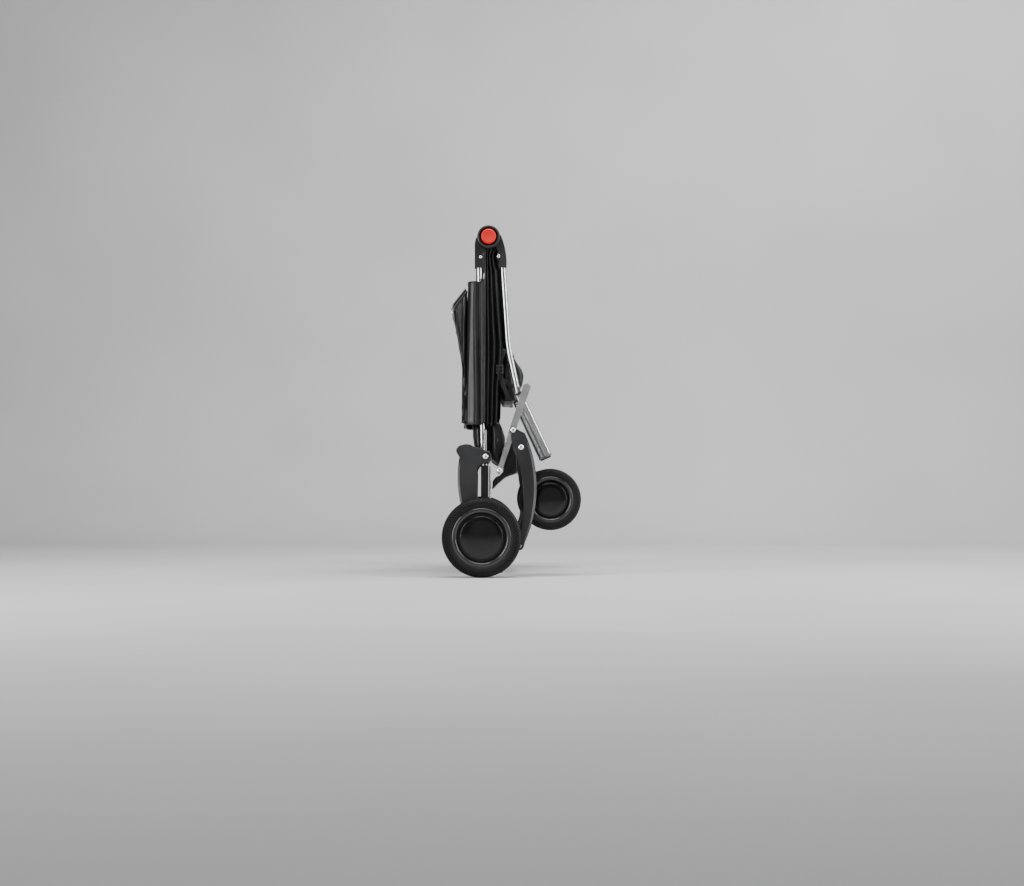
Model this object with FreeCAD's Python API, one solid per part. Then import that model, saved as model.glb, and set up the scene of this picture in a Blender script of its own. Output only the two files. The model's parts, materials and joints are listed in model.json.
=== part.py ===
import FreeCAD, Part
import math
import os

from FreeCAD import Vector

# Folded pet stroller, standing on its rear wheels.  Millimetres.
# X runs from back to front, Y across the stroller, Z up.  The origin is on the floor,
# under the middle of the rear axle.  Left and right are the pusher's, so -Y is the right side.
# Most pieces come in pairs: each is made on the right side and mirrored to the left.

# ---------------------------------------------------------------- driving dimensions
# Wheels
REAR_WHEEL_R = 103.0
REAR_WHEEL_W = 44.0
REAR_WHEEL_Y = 270.0
FRONT_WHEEL_R = 81.0
FRONT_WHEEL_W = 36.0
FRONT_WHEEL_Y = 196.0

# Pivots, as (x, z)
HANDLE = (18.0, 890.0)
REAR_AXLE = (0.0, REAR_WHEEL_R)
LEG_PIVOT = (82.0, 382.0)
FORK_PIVOT = (99.0, 80.0)
FORK_KNEE = (122.0, 166.0)
FRONT_HUB = (180.5, 201.0)
LINK_FOOT = (46.7, 277.0)
LINK_TOP = (118.0, 495.0)
LINK_CROSSING = (106.0, 460.0)
ARM_BOSS = (10.0, 313.0)
BRAKE_PIVOT = (-26.0, 150.0)

# Layers across the stroller, as distances from the middle plane
TUBE_Y = 195.0
ELBOW_Y = (181.0, 209.0)
ELBOW_SPLIT_Y = 195.0
ELBOW_SPLIT_GAP = 0.3   # left on each side of the split
ELBOW_ROUND_GAP = 1.2   # left round the other elbow's eye
HOUSING_Y = (209.0, 231.0)
LINK_Y = (210.0, 222.0)
LEG_Y = (226.0, 242.0)
FORK_Y = (160.0, 174.0)
PACK_Y = 186.0
GUSSET_Y = 200.0
PANEL_Y = (203.5, 213.0)

# Tubes and pins
TUBE_R = 7.2
TUBE_WALL = 1.4
LOWER_TUBE_DEPTH = 22.0
LOWER_TUBE_WIDTH = 15.0
HANDLE_R = 11.0
GRIP_R = 15.0
GRIP_HALF = 150.0
HUB_PIN_R = 8.0
AXLE_R = 6.0
STUB_R = 5.0
CROSS_TUBE_R = 7.0
FORK_TUBE_R = 10.0
BRAKE_BAR_R = 5.0
PIVOT_R = 4.0
RIVET_R = 6.5
SMALL_RIVET_R = 4.6
SCREW_R = 2.6
SCREW_HEIGHT = 1.6
RUNNING = 0.06          # clearance on the radius between a turning part and its pin
CUT_PAST = 1.0          # how far a cutting tool runs past the face it opens
AXLE_SINK = 10.0        # an axle's end lies this far inside the wheel's outer face

# Handle hub
HUB_R = 30.0
RECESS_R = 24.5
BUTTON_R = 20.0
BUTTON_Y = (218.0, 235.0)

# Frame tube centre lines, as (x, z)
REAR_TUBE = ((-7.0, 852.0), (4.0, 297.3))
FRONT_TUBE = ((53.6, 850.0), (70.0, 602.0), (96.6, 480.0))
FRONT_BEND_R = 420.0
LOWER_TUBE = ((97.4, 478.0), (172.0, 319.0))

# Rear column and axle clamp
COLUMN_FOOT = 120.0
COLUMN_TOP = 297.0
COLUMN_HALF = 10.0
CLAMP_HALF = 13.0
SIDE_ROD_R = 2.2

# Rivets and screws, as (x, z)
REAR_ELBOW_RIVET = (-3.0, 839.4)
FRONT_ELBOW_RIVET = (44.2, 840.7)
LEG_RIVET = (103.0, 337.0)
COLUMN_SCREWS = ((4.0, 291.0), (13.0, 292.0))

# Brake and stand
PEDAL_HALF = 34.0
STAND_HALF_X = 56.0
STAND_HALF_Y = 45.0
STAND_PAD_H = 4.0


# ---------------------------------------------------------------- helpers
def point(xz, y=0.0):
    return Vector(xz[0], y, xz[1])


def outline(start, *steps):
    """Closed face in the XZ plane.  A step is an end point, or (through, end) for an arc."""
    edges = []
    here = start
    for step in steps:
        if isinstance(step[0], tuple):
            through, end = step
            edges.append(Part.Arc(point(here), point(through), point(end)).toShape())
        else:
            end = step
            edges.append(Part.LineSegment(point(here), point(end)).toShape())
        here = end
    if here != start:
        edges.append(Part.LineSegment(point(here), point(start)).toShape())
    return Part.Face(Part.Wire(edges))


def slab(face, y_near, y_far):
    """A face in the XZ plane, thickened between two distances on the right (-Y) side."""
    moved = face.copy()
    moved.translate(Vector(0, -y_far, 0))
    return moved.extrude(Vector(0, y_far - y_near, 0))


def across(face, half_width):
    """A face in the XZ plane, thickened evenly about the middle plane."""
    return slab(face, -half_width, half_width)


def pin(xz, radius, y_near, y_far):
    """A cylinder along Y between two distances on the right side."""
    return Part.makeCylinder(radius, y_far - y_near, point(xz, -y_far), Vector(0, 1, 0))


def bar_xz(a, b, half_a, half_b):
    """A face round two points, tapered between two end radii."""
    ax, az = a
    bx, bz = b
    length = math.hypot(bx - ax, bz - az)
    ux, uz = (bx - ax) / length, (bz - az) / length
    nx, nz = -uz, ux
    a1 = (ax + nx * half_a, az + nz * half_a)
    a2 = (ax - nx * half_a, az - nz * half_a)
    b1 = (bx + nx * half_b, bz + nz * half_b)
    b2 = (bx - nx * half_b, bz - nz * half_b)
    a_end = (ax - ux * half_a, az - uz * half_a)
    b_end = (bx + ux * half_b, bz + uz * half_b)
    return outline(a1, b1, (b_end, b2), a2, (a_end, a1))


def rod(a, b, y, radius):
    """A solid round rod between two XZ points at one distance on the right side."""
    start, end = point(a, -y), point(b, -y)
    way = end - start
    return Part.makeCylinder(radius, way.Length, start, way)


def round_tube(a, b, y, radius, wall):
    return rod(a, b, y, radius).cut(rod(a, b, y, radius - wall))


def bent_path(points, y, radius):
    """Straight runs joined by a tangent arc at the middle point."""
    start, corner, end = [point(p, -y) for p in points]
    back = (start - corner).normalize()
    ahead = (end - corner).normalize()
    turn = math.pi - back.getAngle(ahead)
    reach = radius * math.tan(turn / 2)
    tangent_in = corner + back * reach
    tangent_out = corner + ahead * reach
    inward = (back + ahead).normalize()
    middle = corner + inward * (radius / math.cos(turn / 2) - radius)
    return Part.Wire([
        Part.LineSegment(start, tangent_in).toShape(),
        Part.Arc(tangent_in, middle, tangent_out).toShape(),
        Part.LineSegment(tangent_out, end).toShape(),
    ])


def bent_rod(points, y, radius, bend_radius):
    path = bent_path(points, y, bend_radius)
    start, corner = point(points[0], -y), point(points[1], -y)
    ring = Part.Wire(Part.makeCircle(radius, start, corner - start))
    return path.makePipeShell([ring], True, True)


def rivet(xz, y_face, radius=RIVET_R, height=2.4):
    """A domed rivet head standing on a face at distance y_face, turned about its own axis."""
    x, z = xz
    dome_r = (radius ** 2 + height ** 2) / (2 * height)
    half_turn = math.asin(radius / dome_r) / 2
    foot = Vector(x, -y_face, z)
    edge = Vector(x + radius, -y_face, z)
    crown = Vector(x, -(y_face + height), z)
    middle = Vector(x + dome_r * math.sin(half_turn), -(y_face + height - dome_r * (1 - math.cos(half_turn))), z)
    profile = Part.Wire([
        Part.LineSegment(foot, edge).toShape(),
        Part.Arc(edge, middle, crown).toShape(),
        Part.LineSegment(crown, foot).toShape(),
    ])
    return Part.Face(profile).revolve(foot, Vector(0, 1, 0), 360)


def mirror(shape):
    return shape.mirror(Vector(0, 0, 0), Vector(0, 1, 0))


def pair(*solids):
    """The given right-hand solids and their left-hand twins, as one group."""
    group = []
    for solid in solids:
        group += [solid, mirror(solid)]
    return Part.makeCompound(group)


NODES = {}


def node(name, shape):
    NODES[name] = shape


def node_sides(name, shape):
    node(name + "_right", shape)
    node(name + "_left", mirror(shape))


# ---------------------------------------------------------------- handle and hubs
def make_handle():
    """A bar between the hubs, turned down at each end to the pin that the elbows sit on."""
    inner, outer = ELBOW_Y
    pin_end = outer - 0.5
    hollow_half = inner - 30
    bar = pin(HANDLE, HANDLE_R, -inner, inner).fuse(pin(HANDLE, HUB_PIN_R, -pin_end, pin_end))
    bar = bar.cut(pin(HANDLE, HUB_PIN_R, -hollow_half, hollow_half))
    node("handle_bar", bar)
    grip = pin(HANDLE, GRIP_R, -GRIP_HALF, GRIP_HALF)
    node("handle_grip", grip.cut(pin(HANDLE, HANDLE_R, -GRIP_HALF, GRIP_HALF)))


def make_elbows():
    """Two elbows share the hub: the rear one's eye is inside, the front one's outside."""
    inner, outer = ELBOW_Y
    rear_face = outline(
        (-18.5, 811), (-18.5, 866), ((-17.3, 881), (-12.5, 893)), HANDLE, (8, 856), (2.5, 846), (2.5, 811))
    rear = slab(rear_face, inner, outer)
    rear = rear.cut(pin(HANDLE, HUB_R + ELBOW_ROUND_GAP, ELBOW_SPLIT_Y - ELBOW_SPLIT_GAP, outer + 1))
    rear = rear.fuse(pin(HANDLE, HUB_R - 2, inner, ELBOW_SPLIT_Y - ELBOW_SPLIT_GAP))
    rear = rear.cut(pin(HANDLE, HUB_PIN_R, inner - CUT_PAST, outer + CUT_PAST))
    rear = rear.cut(rod(*REAR_TUBE, TUBE_Y, TUBE_R))
    node("rear_elbows", pair(rear.removeSplitter()))

    front_face = outline(
        (45.5, 812), (65.5, 812), ((63.2, 852), (50.5, 896)), (40, 905), HANDLE, (38, 864), (45.5, 846))
    front = slab(front_face, inner, outer)
    front = front.cut(pin(HANDLE, HUB_R + ELBOW_ROUND_GAP, inner - 1, ELBOW_SPLIT_Y + ELBOW_SPLIT_GAP))
    front = front.fuse(pin(HANDLE, HUB_R, ELBOW_SPLIT_Y + ELBOW_SPLIT_GAP, outer))
    front = front.cut(pin(HANDLE, HUB_PIN_R + RUNNING, inner - CUT_PAST, outer + CUT_PAST))
    front = front.cut(rod(*FRONT_TUBE[:2], TUBE_Y, TUBE_R))
    node("front_elbows", pair(front.removeSplitter()))


def make_hub_housings():
    back, rim = HOUSING_Y
    cup = pin(HANDLE, HUB_R, back, rim)
    cup = cup.cut(pin(HANDLE, RECESS_R, BUTTON_Y[0] + 8, rim + 1))
    cup = cup.cut(pin(HANDLE, BUTTON_R + RUNNING, back + 3, rim + 1))
    node("hub_housings", pair(cup))
    button = pin(HANDLE, BUTTON_R, *BUTTON_Y)
    crown_edges = [edge for edge in button.Edges
                   if abs(edge.BoundBox.YMin + BUTTON_Y[1]) < 0.1 and abs(edge.BoundBox.YMax + BUTTON_Y[1]) < 0.1]
    node_sides("red_button", button.makeFillet(3.0, crown_edges))


# ---------------------------------------------------------------- frame tubes
def make_frame_tubes():
    node_sides("rear_tube", round_tube(*REAR_TUBE, TUBE_Y, TUBE_R, TUBE_WALL))
    outer = bent_rod(FRONT_TUBE, TUBE_Y, TUBE_R, FRONT_BEND_R)
    inner = bent_rod(FRONT_TUBE, TUBE_Y, TUBE_R - TUBE_WALL, FRONT_BEND_R)
    node_sides("front_tube", outer.cut(inner))


def lower_tube_direction():
    (ax, az), (bx, bz) = LOWER_TUBE
    length = math.hypot(bx - ax, bz - az)
    return length, (bx - ax) / length, (bz - az) / length


def oval_prism(start_at, end_at, depth, width):
    """A stadium section carried along the lower tube's line, between two distances down it."""
    length, ux, uz = lower_tube_direction()
    centre = Vector(LOWER_TUBE[0][0] + ux * start_at, -TUBE_Y, LOWER_TUBE[0][1] + uz * start_at)
    along = Vector(ux, 0, uz)
    side = Vector(-uz, 0, ux)
    flat = (depth - width) / 2
    lift = Vector(0, width / 2, 0)
    a, b = centre + side * flat + lift, centre - side * flat + lift
    c, d = centre - side * flat - lift, centre + side * flat - lift
    round_low = centre - side * (depth / 2)
    round_high = centre + side * (depth / 2)
    section = Part.Wire([
        Part.LineSegment(a, b).toShape(),
        Part.Arc(b, round_low, c).toShape(),
        Part.LineSegment(c, d).toShape(),
        Part.Arc(d, round_high, a).toShape(),
    ])
    return Part.Face(section).extrude(along * (end_at - start_at))


def make_lower_tubes():
    length, _, _ = lower_tube_direction()
    outer = oval_prism(2, length, LOWER_TUBE_DEPTH, LOWER_TUBE_WIDTH)
    inner = oval_prism(2, length, LOWER_TUBE_DEPTH - 2 * TUBE_WALL, LOWER_TUBE_WIDTH - 2 * TUBE_WALL)
    node_sides("front_lower_tube", outer.cut(inner))
    collar_end = 2.0
    collar = oval_prism(-5, collar_end, LOWER_TUBE_DEPTH - 3, LOWER_TUBE_WIDTH + 2)
    node("front_collars", pair(collar.cut(rod(*FRONT_TUBE[1:], TUBE_Y, TUBE_R))))
    cap = oval_prism(length, length + 6, LOWER_TUBE_DEPTH + 1, LOWER_TUBE_WIDTH + 1)
    node("end_caps", pair(cap))
    tip = oval_prism(length + 6, length + 10, LOWER_TUBE_DEPTH - 6, LOWER_TUBE_WIDTH - 3)
    node("end_tips", pair(tip))


# ---------------------------------------------------------------- link bars and front leg
def make_links():
    blade = slab(bar_xz(LINK_TOP, LINK_FOOT, 10.0, 6.2), *LINK_Y)
    blade = blade.cut(pin(LEG_PIVOT, PIVOT_R, LINK_Y[0] - CUT_PAST, LINK_Y[1] + CUT_PAST))
    node_sides("link_bar", blade)
    reach = LINK_Y[0]
    cross = pin(LINK_FOOT, CROSS_TUBE_R, -reach, reach)
    node("link_cross_tube", cross.cut(pin(LINK_FOOT, CROSS_TUBE_R - TUBE_WALL, -reach, reach)))
    spacer = pin(LINK_CROSSING, 6.0, TUBE_Y + LOWER_TUBE_WIDTH / 2, LINK_Y[0])
    leg_pin = pin(LEG_PIVOT, PIVOT_R, LINK_Y[0], LEG_Y[1] + 0.4)
    leg_head = rivet(LEG_PIVOT, LEG_Y[1] + 0.4)
    elbow_rivet = rivet(FRONT_ELBOW_RIVET, ELBOW_Y[1], SMALL_RIVET_R)
    node("front_rivets", pair(spacer, leg_pin.fuse(leg_head), elbow_rivet, rivet(LINK_FOOT, LINK_Y[1])))


def make_front_leg():
    """A crescent blade between the leg pivot at its top and the fork pivot at its foot."""
    blade_face = outline(
        (77, 372), (92, 384.5), (113, 374), ((143.5, 222), (104, 72)), (93, 76), ((107.5, 238), (77, 358)))
    blade = slab(blade_face, *LEG_Y)
    blade = blade.fuse(pin(LEG_PIVOT, 9.0, *LEG_Y)).fuse(pin(FORK_PIVOT, 10.5, *LEG_Y))
    blade = blade.cut(pin(LEG_PIVOT, PIVOT_R + RUNNING, LEG_Y[0] - CUT_PAST, LEG_Y[1] + CUT_PAST))
    blade = blade.cut(pin(FORK_PIVOT, STUB_R + RUNNING, LEG_Y[0] - CUT_PAST, LEG_Y[1] + CUT_PAST))
    node_sides("front_leg", blade.removeSplitter())
    node("leg_rivets", pair(rivet(LEG_RIVET, LEG_Y[1])))


def make_fork():
    """Each arm rises behind the leg, then turns out to the wheel's hub."""
    arm = slab(bar_xz(FORK_PIVOT, FORK_KNEE, 13.0, 11.0), *FORK_Y)
    arm = arm.fuse(slab(bar_xz(FORK_KNEE, FRONT_HUB, 11.0, 11.0), *FORK_Y)).removeSplitter()
    arm = arm.cut(pin(FRONT_HUB, STUB_R, FORK_Y[0] - CUT_PAST, FORK_Y[1] + CUT_PAST))
    arm = arm.cut(pin(FORK_PIVOT, STUB_R, FORK_Y[0] - CUT_PAST, FORK_Y[1] + CUT_PAST))
    node_sides("fork_arm", arm)
    pin_end = LEG_Y[1] + 0.5
    hollow_half = FORK_Y[0] - 30
    shaft = pin(FORK_PIVOT, FORK_TUBE_R, -FORK_Y[0], FORK_Y[0]).fuse(pin(FORK_PIVOT, STUB_R, -pin_end, pin_end))
    node("fork_shaft", shaft.cut(pin(FORK_PIVOT, FORK_TUBE_R - 2, -hollow_half, hollow_half)))
    node("stub_axles", pair(pin(FRONT_HUB, STUB_R, FORK_Y[0], FRONT_WHEEL_Y + FRONT_WHEEL_W / 2 - AXLE_SINK)))


# ---------------------------------------------------------------- rear support
def make_rear_arms():
    face = outline(
        (-66.5, 327), ((-62, 338), (-50, 343.5)), ((-38, 345.5), (-22, 340)), (10, 329),
        ((25.5, 313), (10, 297)), ((-6, 290), (-12, 270)), (-13, 200), (20, 103),
        ((0, 83), (-20, 103)), ((-56, 195), (-58, 312)), (-62, 318))
    arm = slab(face, *LEG_Y)
    arm = arm.cut(pin(REAR_AXLE, AXLE_R, LEG_Y[0] - CUT_PAST, LEG_Y[1] + CUT_PAST))
    node_sides("rear_arm", arm)


def make_rear_columns():
    column_face = outline((-2, COLUMN_FOOT), (18, COLUMN_FOOT), (18, COLUMN_TOP), (-2, COLUMN_TOP))
    column = slab(column_face, TUBE_Y - COLUMN_HALF, TUBE_Y + COLUMN_HALF)
    node("rear_columns", pair(column))
    inner, outer = TUBE_Y - CLAMP_HALF, TUBE_Y + CLAMP_HALF
    clamp_face = outline((-16, 86), (20, 86), (20, COLUMN_FOOT), (-16, COLUMN_FOOT))
    clamp = slab(clamp_face, inner, outer)
    clamp = clamp.cut(pin(REAR_AXLE, AXLE_R, inner - CUT_PAST, outer + CUT_PAST))
    brake_lug = slab(bar_xz((-12, 112), BRAKE_PIVOT, 9, 9), inner, inner + 8)
    clamp = clamp.fuse(brake_lug)
    clamp = clamp.cut(pin(BRAKE_PIVOT, BRAKE_BAR_R + RUNNING, inner - CUT_PAST, outer + CUT_PAST))
    node("axle_clamps", pair(clamp.removeSplitter()))
    node("side_rods", pair(rod((22, COLUMN_FOOT), (22, 288), TUBE_Y, SIDE_ROD_R)))
    boss_bolt = pin(ARM_BOSS, PIVOT_R, TUBE_Y + COLUMN_HALF, LEG_Y[0])
    screws = [rivet(spot, TUBE_Y + COLUMN_HALF, SCREW_R, SCREW_HEIGHT) for spot in COLUMN_SCREWS]
    elbow_rivet = rivet(REAR_ELBOW_RIVET, ELBOW_Y[1], SMALL_RIVET_R)
    bracket = slab(outline((-1, 300), (21, 300), (21, 328), (-1, 328)), TUBE_Y + TUBE_R + 0.2, TUBE_Y + COLUMN_HALF)
    node("rear_rivets", pair(boss_bolt.fuse(bracket), rivet(ARM_BOSS, LEG_Y[1]), elbow_rivet, *screws))


def make_rear_axle():
    reach = REAR_WHEEL_Y + REAR_WHEEL_W / 2 - AXLE_SINK
    node("rear_axle", pin(REAR_AXLE, AXLE_R, -reach, reach))


def make_brake():
    reach = TUBE_Y - 6
    node("brake_bar", pin(BRAKE_PIVOT, BRAKE_BAR_R, -reach, reach))
    x, z = BRAKE_PIVOT
    pedal = across(bar_xz(BRAKE_PIVOT, (x - 26, z - 8), 8.5, 5), PEDAL_HALF)
    node("brake_pedal", pedal.cut(pin(BRAKE_PIVOT, BRAKE_BAR_R, -PEDAL_HALF, PEDAL_HALF)))


def make_stand():
    """A T-shaped foot that hangs from the rear axle and can be swung up out of the way."""
    half = STAND_HALF_X
    base = STAND_PAD_H
    face = outline(
        (-half, base), (half, base), (half, base + 4), (14, 20), (10, 80), (-10, 80), (-14, 20), (-half, base + 4))
    stand = across(face, STAND_HALF_Y).fuse(pin(REAR_AXLE, 15, -STAND_HALF_Y, STAND_HALF_Y))
    slot = across(outline((-5, 24), (5, 24), (5, 76), (-5, 76)), STAND_HALF_Y - 14)
    stand = stand.cut(slot).fuse(across(outline((-10, 78), (10, 78), (10, 96), (-10, 96)), STAND_HALF_Y))
    stand = stand.cut(pin(REAR_AXLE, AXLE_R + RUNNING, -STAND_HALF_Y - 1, STAND_HALF_Y + 1))
    node("stand_foot", stand.removeSplitter())
    pad_face = outline((-half, 0), (half, 0), (half, base), (-half, base))
    node("stand_pad", across(pad_face, STAND_HALF_Y))


# ---------------------------------------------------------------- wheels
def turned(profile, xz, y_centre):
    """A profile of (radius, distance along the axle) points, turned about the wheel's axle."""
    edges = []
    corners = [Vector(xz[0] + radius, -(y_centre + along), xz[1]) for radius, along in profile]
    for here, there in zip(corners, corners[1:] + corners[:1]):
        edges.append(Part.LineSegment(here, there).toShape())
    face = Part.Face(Part.Wire(edges))
    return face.revolve(point(xz), Vector(0, 1, 0), 360)


def make_wheel(prefix, xz, y_centre, radius, width, axle_radius):
    """Tyre, dished rim and domed cap, in shares of the wheel's own radius and width."""
    half = width / 2
    bead, ring, cap = 0.75 * radius, 0.66 * radius, 0.54 * radius
    tyre = turned([
        (bead, -half * 0.86), (0.83 * radius, -half), (0.92 * radius, -half * 0.93),
        (0.985 * radius, -half * 0.62), (radius, -half * 0.25), (radius, half * 0.25),
        (0.985 * radius, half * 0.62), (0.92 * radius, half * 0.93), (0.83 * radius, half),
        (bead, half * 0.86)], xz, y_centre)
    hub_bore = axle_radius + RUNNING
    hub, hub_back, hub_front = 18.0, -half * 0.9, half * 0.3
    back, back_web, front = -half * 0.8, -half * 0.7, half * 0.82
    dish_edge, dish_floor, web = half * 0.62, half * 0.5, half * 0.1
    step = 2.0
    rim = turned([
        (hub_bore, hub_back), (hub, hub_back), (hub + step, back_web), (ring, back_web),
        (ring + step, back), (bead, back), (bead, front), (ring + step, front),
        (ring, dish_edge), (cap + step / 2, dish_floor), (cap + step / 2, web), (hub, web),
        (hub, hub_front), (hub_bore, hub_front)], xz, y_centre)
    dome = turned([
        (0, half * 0.62), (0.2 * cap, half * 0.62), (cap, half * 0.56), (cap, half * 0.66),
        (0.94 * cap, half * 0.84), (0.6 * cap, half * 0.95), (0, half)], xz, y_centre)
    for name, solid in (("tyre", tyre), ("rim", rim), ("cap", dome)):
        node_sides(prefix + "_" + name, solid)


# ---------------------------------------------------------------- folded soft goods
def make_fabric():
    """Plain closed solids that fill the places of the folded cabin, canopy and basket."""
    panel = outline((-37, 771), (1, 773), (1, 406), (-43, 399), ((-39.5, 585), (-37, 771)))
    node("side_panels", pair(slab(panel, *PANEL_Y)))
    cabin = outline((-36, 768), (11, 768), (11, 402), (-42, 402), ((-38.5, 585), (-36, 768)))
    node("cabin_pack", across(cabin, PACK_Y))
    canopy = outline(
        (-42, 756), (-78.5, 711), (-73, 667), (-57, 580), (-46, 475), (-45.5, 398), (-44, 398),
        ((-40.5, 577), (-38, 750)))
    node("canopy_pack", across(canopy, GUSSET_Y + 4))
    lower = outline((-26, 395), (9, 395), (-4, 332), (-10, 334), (-20, 342))
    node("lower_panel", across(lower, PACK_Y))
    gusset_rear = outline((11.5, 850), (15.5, 850), (24, 402), (12, 402))
    node("gusset_rear", across(gusset_rear, GUSSET_Y))
    gusset_front = outline(
        (16.2, 848), (36, 848), (44, 836), (44.5, 808), (54, 806), (62, 690), (68, 604), (60, 596), (59, 516),
        (50, 500), (48, 410), (25, 403))
    node("gusset_front", across(gusset_front, PACK_Y))
    straps = outline((61, 595), (69, 600), (74, 572), (90, 500), (87, 458), (54, 455), (51, 498), (60, 515))
    node("strap_pack", across(straps, PACK_Y))
    pouch = outline((80, 590), ((97, 566), (108.5, 530)), (103, 490), (97, 492), (84, 560))
    node("front_pouch", across(pouch, PACK_Y - 2))
    floor = outline((26.5, 400), (48, 406), (62, 360), (50, 293), (42, 291), (27, 300))
    node("floor_pack", across(floor, GUSSET_Y))
    basket = outline(
        (28, 227), ((57, 258), (94, 269)), (93, 318), (80, 352), (60, 302), (58, 267), (38, 262), (28, 250))
    node("basket_pack", across(basket, GUSSET_Y + 4))


def make_all():
    make_handle()
    make_elbows()
    make_hub_housings()
    make_frame_tubes()
    make_lower_tubes()
    make_links()
    make_front_leg()
    make_fork()
    make_rear_arms()
    make_rear_columns()
    make_rear_axle()
    make_brake()
    make_stand()
    make_wheel("rear", REAR_AXLE, REAR_WHEEL_Y, REAR_WHEEL_R, REAR_WHEEL_W, AXLE_R)
    make_wheel("front", FRONT_HUB, FRONT_WHEEL_Y, FRONT_WHEEL_R, FRONT_WHEEL_W, STUB_R)
    make_fabric()


def export_all():
    os.makedirs("parts", exist_ok=True)
    for name, shape in NODES.items():
        if not shape.isValid():
            print("not valid:", name)
        shape.exportStep("parts/" + name + ".step")
        print(name, len(shape.Solids), "solids", round(shape.Volume / 1000, 1), "cm3")
    print("wrote", len(NODES), "nodes")


make_all()
export_all()
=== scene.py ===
# %% [markdown]
# # A folded pet stroller, dressed around its CAD frame
#
# The hard parts (tubes, hinges, arms, wheels) come from the CAD model and only get rounded edges and
# real finishes here. The soft parts (cabin, canopy, pleated sides, basket, straps) are modelled in this
# file with numpy, as surfaces of two parameters. Everything is in metres, in the frame of the CAD model:
# X runs forwards to the small wheels, Y across, Z up, with the origin on the floor under the rear axle.

# %% Load the frame
import bpy
import bmesh
import json
import math
import numpy as np
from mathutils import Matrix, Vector

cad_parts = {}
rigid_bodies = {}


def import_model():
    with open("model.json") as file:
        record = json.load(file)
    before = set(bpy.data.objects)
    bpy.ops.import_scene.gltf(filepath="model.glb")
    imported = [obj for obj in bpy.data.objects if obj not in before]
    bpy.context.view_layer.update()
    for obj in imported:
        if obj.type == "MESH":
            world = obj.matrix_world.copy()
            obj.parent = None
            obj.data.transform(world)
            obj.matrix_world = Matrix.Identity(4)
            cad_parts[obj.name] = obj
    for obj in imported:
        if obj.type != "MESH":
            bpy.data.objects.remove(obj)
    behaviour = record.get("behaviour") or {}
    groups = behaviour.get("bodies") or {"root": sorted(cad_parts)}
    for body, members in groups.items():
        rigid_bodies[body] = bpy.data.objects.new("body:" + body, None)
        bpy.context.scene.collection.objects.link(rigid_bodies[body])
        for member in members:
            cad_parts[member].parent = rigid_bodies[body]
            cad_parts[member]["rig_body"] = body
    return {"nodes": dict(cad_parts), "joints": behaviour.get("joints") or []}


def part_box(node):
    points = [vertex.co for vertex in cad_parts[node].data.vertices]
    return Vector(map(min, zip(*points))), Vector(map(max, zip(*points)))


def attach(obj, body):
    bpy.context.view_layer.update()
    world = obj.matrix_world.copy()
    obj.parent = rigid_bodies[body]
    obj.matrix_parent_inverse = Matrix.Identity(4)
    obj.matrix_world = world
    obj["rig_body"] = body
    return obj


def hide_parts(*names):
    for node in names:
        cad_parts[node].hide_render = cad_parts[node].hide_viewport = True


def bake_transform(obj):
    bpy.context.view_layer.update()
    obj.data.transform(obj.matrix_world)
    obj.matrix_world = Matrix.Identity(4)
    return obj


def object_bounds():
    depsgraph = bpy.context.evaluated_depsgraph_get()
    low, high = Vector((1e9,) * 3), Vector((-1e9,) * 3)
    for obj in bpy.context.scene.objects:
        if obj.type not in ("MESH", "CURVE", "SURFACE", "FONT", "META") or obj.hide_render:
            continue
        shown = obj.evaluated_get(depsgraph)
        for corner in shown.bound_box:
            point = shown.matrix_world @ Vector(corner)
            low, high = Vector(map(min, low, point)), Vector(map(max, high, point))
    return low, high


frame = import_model()
cad_box = [list(corner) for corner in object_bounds()]
joints = {j["name"]: j for j in frame["joints"]}
MM = 0.001
SCENE = bpy.context.scene


def pivot(joint):
    """The (x, z) of a hinge's axis."""
    x, _, z = joints[joint]["pos_m"]
    return np.array([x, z])


HANDLE = pivot("frame_fold")
REAR_AXLE = pivot("rear_wheel_spin_right")
FRONT_HUB = pivot("front_wheel_spin_right")
SIDES = {"right": -1, "left": 1}
REAR, FRONT = "rear_frame", "front_frame"

# %% [markdown]
# ## The camera
#
# The stroller is seen square from its right-hand side by a long lens, four metres away and a quarter of a
# metre up. The camera sits there, with a small turn up and to the right for the framing.

# %% Camera
CAMERA_DISTANCE = 4.1
CAMERA_HEIGHT = 0.2416
CAMERA_X = 0.0193
FOCAL_LENGTH_MM = 56.07
TURN_UP, TURN_RIGHT = math.radians(1.472), math.radians(0.826)
near_side_y = cad_box[0][1]
camera_data = bpy.data.cameras.new("camera")
camera_data.lens = FOCAL_LENGTH_MM
camera_data.sensor_width = 36.0
camera = bpy.data.objects.new("camera", camera_data)
camera.location = (CAMERA_X, near_side_y - CAMERA_DISTANCE, CAMERA_HEIGHT)
camera.rotation_euler = (math.pi / 2 + TURN_UP, 0, -TURN_RIGHT)
SCENE.collection.objects.link(camera)
SCENE.camera = camera
print("camera at", [round(v, 3) for v in camera.location])

# %% [markdown]
# ## A small kit for materials
#
# Every finish is a Principled shader fed by noise in object space, so that no surface is one flat
# colour: a broad noise varies the tone, a fine noise gives the grain, and a bump follows the fine one.

# %% Material kit
FINISH = {}


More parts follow.
